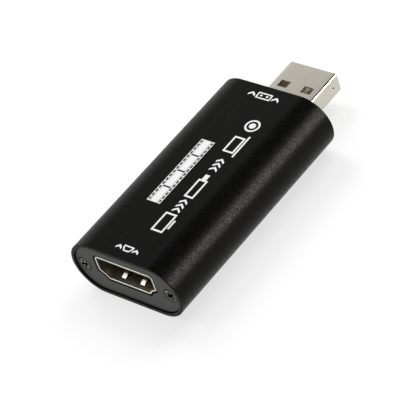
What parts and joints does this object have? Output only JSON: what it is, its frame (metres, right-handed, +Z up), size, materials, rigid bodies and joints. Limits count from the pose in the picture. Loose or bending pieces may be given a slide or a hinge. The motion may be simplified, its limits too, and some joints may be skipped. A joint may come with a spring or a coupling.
{
  "type": "video capture adapter",
  "caption": "Stick adapter: rounded aluminium tube with screwed, inset end plates, a video socket at the front and a flat data plug at the back.",
  "frame": {"origin": "on the flat underside, below the middle of the whole part, plug included", "axes": "+Y along the body from the video socket to the plug's tip, +Z up through the printed face, +X across the body"},
  "size_m": [0.028, 0.0644, 0.013],
  "materials": {
    "tube_finish": "black anodised, satin, fine grain",
    "plate_finish": "dark grey anodised, matt",
    "screw_finish": "black oxide",
    "socket_steel": "tin plated",
    "plug_steel": "satin nickel plated",
    "dark_moulding": "dark brown moulding",
    "contact_gold": "gold flashed",
    "solder": "bright solder",
    "board": "green solder mask",
    "chip_moulding": "black moulding",
    "tin": "tinned",
    "ceramic": "tan ceramic",
    "ferrite": "grey ferrite"
  },
  "bodies": {
    "root": {"housing_tube": "tube_finish", "input_end_plate": "plate_finish", "output_end_plate": "plate_finish", "input_plate_screws": "screw_finish", "output_plate_screws": "screw_finish", "socket_shell": "socket_steel", "socket_insulator": "dark_moulding", "socket_upper_contacts": "contact_gold", "socket_lower_contacts": "contact_gold", "socket_solder": "solder", "plug_shell": "plug_steel", "plug_insulator": "dark_moulding", "plug_contacts": "contact_gold", "plug_solder": "solder", "circuit_board": "board", "capture_chip": "chip_moulding", "capture_chip_leads": "tin", "memory_chip": "chip_moulding", "memory_chip_leads": "tin", "voltage_regulators": "chip_moulding", "regulator_leads": "tin", "clock_crystal": "tin", "surge_protectors": "chip_moulding", "capacitors": "ceramic", "resistors": "chip_moulding", "ferrite_beads": "ferrite", "component_terminals": "tin"}
  },
  "joints": []
}
